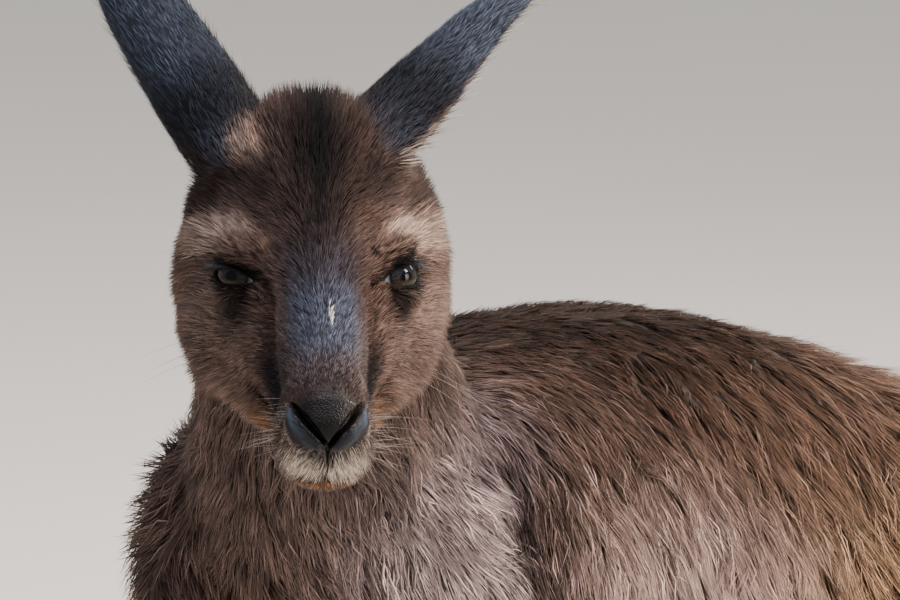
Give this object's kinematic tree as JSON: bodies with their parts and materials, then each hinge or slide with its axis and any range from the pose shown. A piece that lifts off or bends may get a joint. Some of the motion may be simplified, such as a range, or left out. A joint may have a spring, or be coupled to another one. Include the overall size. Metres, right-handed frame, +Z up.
{
  "type": "kangaroo",
  "caption": "Life-size still model of a dark brown kangaroo crouching on its forepaws, flat hind feet and tail, with the neck bent and the head turned to look round.",
  "frame": {"origin": "centre of the model's box, on the floor that it rests on", "axes": "+Z up; +X along the trunk towards the head, with the tail laid towards -X; +Y the animal's left, to which the head is turned"},
  "size_m": [1.672, 0.4118, 0.7036],
  "materials": {
    "coat": "thick dark brown fur, greyer on the neck and chest and golden brown on the flanks",
    "dark_coat": "short black-brown fur of the paws and feet",
    "ear_coat": "short blue-black fur with a pale fringe inside",
    "nose_leather": "dark, finely grained bare skin",
    "eye": "wet, very dark brown",
    "claw": "worn black horn"
  },
  "bodies": {
    "root": {"abdomen": "coat", "chest": "coat", "claw_fifth_toe_left": "claw", "claw_fifth_toe_right": "claw", "claw_forepaw_left_1": "claw", "claw_forepaw_left_2": "claw", "claw_forepaw_left_3": "claw", "claw_forepaw_left_4": "claw", "claw_forepaw_left_5": "claw", "claw_forepaw_right_1": "claw", "claw_forepaw_right_2": "claw", "claw_forepaw_right_3": "claw", "claw_forepaw_right_4": "claw", "claw_forepaw_right_5": "claw", "claw_fourth_toe_left": "claw", "claw_fourth_toe_right": "claw", "claw_second_toe_left": "claw", "claw_second_toe_right": "claw", "claw_third_toe_left": "claw", "claw_third_toe_right": "claw", "ear_left": "ear_coat", "ear_right": "ear_coat", "eye_left": "eye", "eye_right": "eye", "foot_left": "dark_coat", "foot_right": "dark_coat", "forearm_left": "coat", "forearm_right": "coat", "forepaw_left": "dark_coat", "forepaw_right": "dark_coat", "head": "coat", "lower_jaw": "coat", "neck": "coat", "nose": "nose_leather", "shin_left": "coat", "shin_right": "coat", "tail_base": "coat", "tail_middle": "coat", "tail_rear": "coat", "tail_tip": "coat", "thigh_left": "coat", "thigh_right": "coat", "upper_arm_left": "coat", "upper_arm_right": "coat"}
  },
  "joints": []
}
